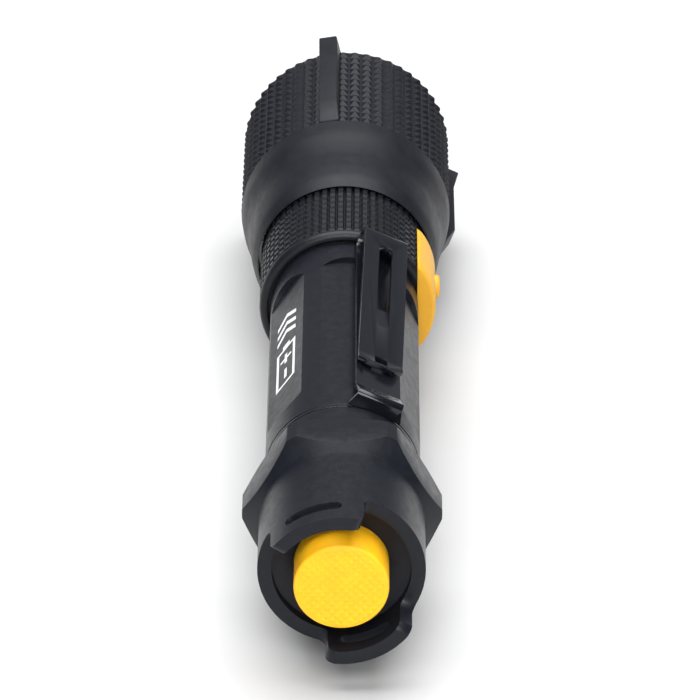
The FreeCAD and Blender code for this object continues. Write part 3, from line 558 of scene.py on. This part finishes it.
def make_boot():
    """Arched silicone pad on its flat seat, with soft edges and a hole for the key."""
    count = 160
    edge_y, edge_z = rounded_rectangle(PAD_HALF_Y, PAD_HALF_Z, PAD_CORNER_R, count)
    arc_x = BOOT_TOP_X - PAD_ARC_R
    phi = np.arange(count) / count * 2 * math.pi
    key_y = KEY_Y - PAD_MID_Y
    hole_y, hole_z = key_y + KEY_BORE_R * np.cos(phi), KEY_BORE_R * np.sin(phi)
    lip_dip, lip_run = PAD_LIP

    def skin(z):
        return arc_x + np.sqrt(PAD_ARC_R ** 2 - z ** 2)

    rings = [(hole_y, hole_z, np.full(count, PAD_SEAT_X))]
    for depth in (1.6, 0.7, 0.3):
        rings.append((hole_y, hole_z, skin(hole_z) - depth))
    run = np.hypot(edge_y - hole_y, edge_z - hole_z)
    for t in (1 - np.linspace(1.0, 0.0, 30) ** 1.5):
        y = hole_y + (edge_y - hole_y) * t
        z = hole_z + (edge_z - hole_z) * t
        short = PAD_EDGE_R - np.clip(run * (1 - t), 0, PAD_EDGE_R)
        drop = PAD_EDGE_R - np.sqrt(np.maximum(PAD_EDGE_R ** 2 - short ** 2, 0))
        lip = lip_dip * (1 - ramp(run * t, 0.0, lip_run))
        rings.append((y, z, np.maximum(skin(z) - drop - lip, PAD_SEAT_X + 0.03)))
    rings.append((edge_y, edge_z, np.full(count, PAD_SEAT_X)))
    grid = np.stack([np.stack([x, PAD_MID_Y + y, z], -1) for y, z, x in rings])
    obj = new_object("pad_skin", grid.reshape(-1, 3), ring_faces(len(rings), count), 50)
    # the pad takes the darker silicone copy: painted shade
    finish(obj, "yellow_silicone", PAD_SILICONE_PAINTED_SHADE)
    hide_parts("side_boot")
    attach(obj, "barrel")


def make_key():
    """Domed key with a rounded rim, on its stem and flange."""
    outline = [(KEY_TOP_X, NEAR_AXIS), (KEY_TOP_X - 0.02, 0.6), (KEY_TOP_X - 0.07, 1.1)]
    outline += [(KEY_TOP_X - 0.09 - 0.5 * (1 - math.cos(a)), 1.4 + 0.55 * math.sin(a))
                for a in np.linspace(0.1, math.pi / 2, 6)]
    inner, outer = KEY_FLANGE_X
    outline += [(outer, KEY_STEM_R), (outer, KEY_FLANGE_R), (inner, KEY_FLANGE_R), (inner, KEY_STEM_R),
                (KEY_STEM_END_X, KEY_STEM_R), (KEY_STEM_END_X, NEAR_AXIS)]
    obj = round_piece("pad_key", outline, 64, 40)
    # the key takes the darker silicone copy: painted shade
    finish(obj, "yellow_silicone", PAD_SILICONE_PAINTED_SHADE)
    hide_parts("side_button")
    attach(obj, "side_key")


# ---------------------------------------------------------------- tail button
def make_tail_button():
    """Moulded silicone button: diamond-grained face, soft rim, plain side and the lip below."""
    count = 480
    theta = np.arange(count) / count * 2 * math.pi
    rings = []
    for r in np.linspace(0.03, BUTTON_FACE_R, 150):
        x, z = r * np.cos(theta), r * np.sin(theta)
        p = (x + z) / math.sqrt(2) / GRAIN_PITCH + 0.5
        q = (x - z) / math.sqrt(2) / GRAIN_PITCH + 0.5
        from_groove = np.minimum(np.minimum(p % 1, 1 - p % 1), np.minimum(q % 1, 1 - q % 1))
        height = ramp(from_groove, 0.04, 0.40) * (1 - ramp(r, BUTTON_FACE_R - 0.25, BUTTON_FACE_R))
        rings.append((BUTTON_FACE_Y + GRAIN_DEPTH * (1 - height), r))
    for a in np.linspace(0.0, math.pi / 2, 8):
        rings.append((BUTTON_FACE_Y + 0.10 + BUTTON_EDGE_R * (1 - math.cos(a)),
                      BUTTON_R - BUTTON_EDGE_R * (1 - math.sin(a))))
    lip_rear, lip_front = BUTTON_LIP_Y
    rings += [(-2.0, BUTTON_R), (1.8, BUTTON_R), (lip_rear, BUTTON_R), (lip_rear, BUTTON_LIP_R),
              (lip_front, BUTTON_LIP_R), (lip_front, BUTTON_BORE_R), (BUTTON_BORE_Y, BUTTON_BORE_R),
              (BUTTON_BORE_Y, 0.03)]
    grid = np.stack([around(y, r, theta) for y, r in rings])
    obj = new_object("tail_button_skin", grid.reshape(-1, 3), ring_faces(len(rings), count), 45)
    finish(obj, "yellow_silicone")
    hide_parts("tail_button")
    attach(obj, "tail_key")


# ---------------------------------------------------------------- edges of the milled and bent parts
def softened(node_name, width_mm, body):
    """A copy of a CAD node with its faces merged and its edges broken."""
    mesh = NODES[node_name].data.copy()
    obj = bpy.data.objects.new(node_name + "_finished", mesh)
    bpy.context.scene.collection.objects.link(obj)
    bm = bmesh.new()
    bm.from_mesh(mesh)
    bmesh.ops.remove_doubles(bm, verts=bm.verts, dist=2e-6)
    bmesh.ops.dissolve_limit(bm, angle_limit=math.radians(1.5), verts=bm.verts, edges=bm.edges)
    bm.to_mesh(mesh)
    bm.free()
    bevel(obj, width_mm, 2, 38)
    crisp(obj, 30)
    if node_name == "tail_cap":
        turned_normals(obj)
    finish(obj, slots[node_name])
    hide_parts(node_name)
    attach(obj, body)


# ---------------------------------------------------------------- printed mark
def make_mark():
    """Generic battery-direction mark printed on one flat: a cell outline and three chevrons."""
    shapes = []

    def bar(y0, y1, z0, z1):
        shapes.append([(y0, z0), (y1, z0), (y1, z1), (y0, z1)])

    rear, front = CELL_OUTLINE_Y
    outer, inner = CELL_OUTLINE_HALF_W, CELL_OUTLINE_HALF_W - CELL_LINE
    bar(rear, front, -outer, -inner)
    bar(rear, front, inner, outer)
    bar(rear, rear + CELL_LINE, -inner, inner)
    bar(front - CELL_LINE, front, -inner, inner)
    bar(front, front + 1.1, -0.95, 0.95)
    half_line = SIGN_LINE / 2
    bar(MINUS_Y - SIGN_HALF, MINUS_Y + SIGN_HALF, -half_line, half_line)
    bar(PLUS_Y - SIGN_HALF, PLUS_Y + SIGN_HALF, -half_line, half_line)
    bar(PLUS_Y - half_line, PLUS_Y + half_line, -SIGN_HALF, -half_line)
    bar(PLUS_Y - half_line, PLUS_Y + half_line, half_line, SIGN_HALF)
    for k in range(3):
        y = CHEVRON_Y + CHEVRON_PITCH * k
        for side in (-1, 1):
            shapes.append([(y, side * outer), (y + 1.2, side * outer), (y + 3.2, 0.0), (y + 2.0, 0.0)])
    verts, faces = [], []
    for shape in shapes:
        faces.append(list(range(len(verts), len(verts) + len(shape))))
        verts += [(FLAT_X + PRINT_T, y, z) for y, z in shape]
    obj = new_object("direction_mark", verts, faces)
    obj.data.transform(Matrix.Rotation(-math.radians(FLAT_DEG), 4, "Y"))
    obj.data.materials.append(MARK)
    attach(obj, "barrel")


make_grip()
for index, degrees in enumerate(FIN_DEGS, 1):
    make_fin(index, degrees)
make_neck()
make_boot()
make_key()
make_tail_button()
softened("tail_cap", 0.22, "tail")
softened("pocket_clip", 0.10, "barrel")
make_mark()
for node_name in ("lens", "lens_ring", "head_barrel", "battery_tube"):
    crisp(NODES[node_name], 25)


# ---------------------------------------------------------------- studio
def area_light(name, place, target, size, power):
    """A rectangular light at a place in metres, facing a target."""
    data = bpy.data.lights.new(name, "AREA")
    data.shape = "RECTANGLE"
    data.size, data.size_y = size
    data.energy = power
    obj = bpy.data.objects.new(name, data)
    bpy.context.scene.collection.objects.link(obj)
    obj.location = place
    obj.rotation_euler = (Vector(target) - Vector(place)).to_track_quat("-Z", "Y").to_euler()


floor_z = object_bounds()[0][2]
bpy.ops.mesh.primitive_plane_add(size=6.0, location=(0, 0.07, floor_z - 0.0002))
floor = bpy.context.object
floor.name = "studio_floor"
floor.data.materials.append(FLOOR)

world = bpy.data.worlds.new("studio")
world.use_nodes = True
nodes, links = world.node_tree.nodes, world.node_tree.links
direction = nodes.new("ShaderNodeTexCoord")
split = nodes.new("ShaderNodeSeparateXYZ")
links.new(direction.outputs["Generated"], split.inputs["Vector"])
falloff = nodes.new("ShaderNodeMapRange")
falloff.inputs["From Min"].default_value = -0.2
falloff.inputs["From Max"].default_value = 0.95
falloff.inputs["To Min"].default_value = 0.03
falloff.inputs["To Max"].default_value = 0.28
links.new(split.outputs["Y"], falloff.inputs["Value"])
background = nodes["Background"]
background.inputs["Color"].default_value = (0.90, 0.94, 1.0, 1)
links.new(falloff.outputs["Result"], background.inputs["Strength"])
bpy.context.scene.world = world

area_light("top_soft", (-0.02, 0.35, 1.2), (-0.02, 0.35, 0), (1.4, 1.4), 34.0)
area_light("key_soft", (0.05, -1.05, 0.75), (0, 0.03, 0), (1.0, 1.0), 21.0)

camera_data = bpy.data.cameras.new("camera")
camera_data.lens = 288.0
camera_data.sensor_width = 36.0
camera_data.clip_end = 20.0
camera = bpy.data.objects.new("camera", camera_data)
bpy.context.scene.collection.objects.link(camera)
right = Vector((1.0, 0.0044, 0.0)).normalized()
forward = Vector((-0.0039, 0.8821, -0.4710)).normalized()
up = right.cross(forward).normalized()
right = forward.cross(up)
turn = Matrix((right, up, -forward)).transposed()
camera.matrix_world = Matrix.Translation((0.0046, -0.7445, 0.4359)) @ turn.to_4x4()
bpy.context.scene.camera = camera
bpy.context.scene.view_settings.view_transform = "Standard"
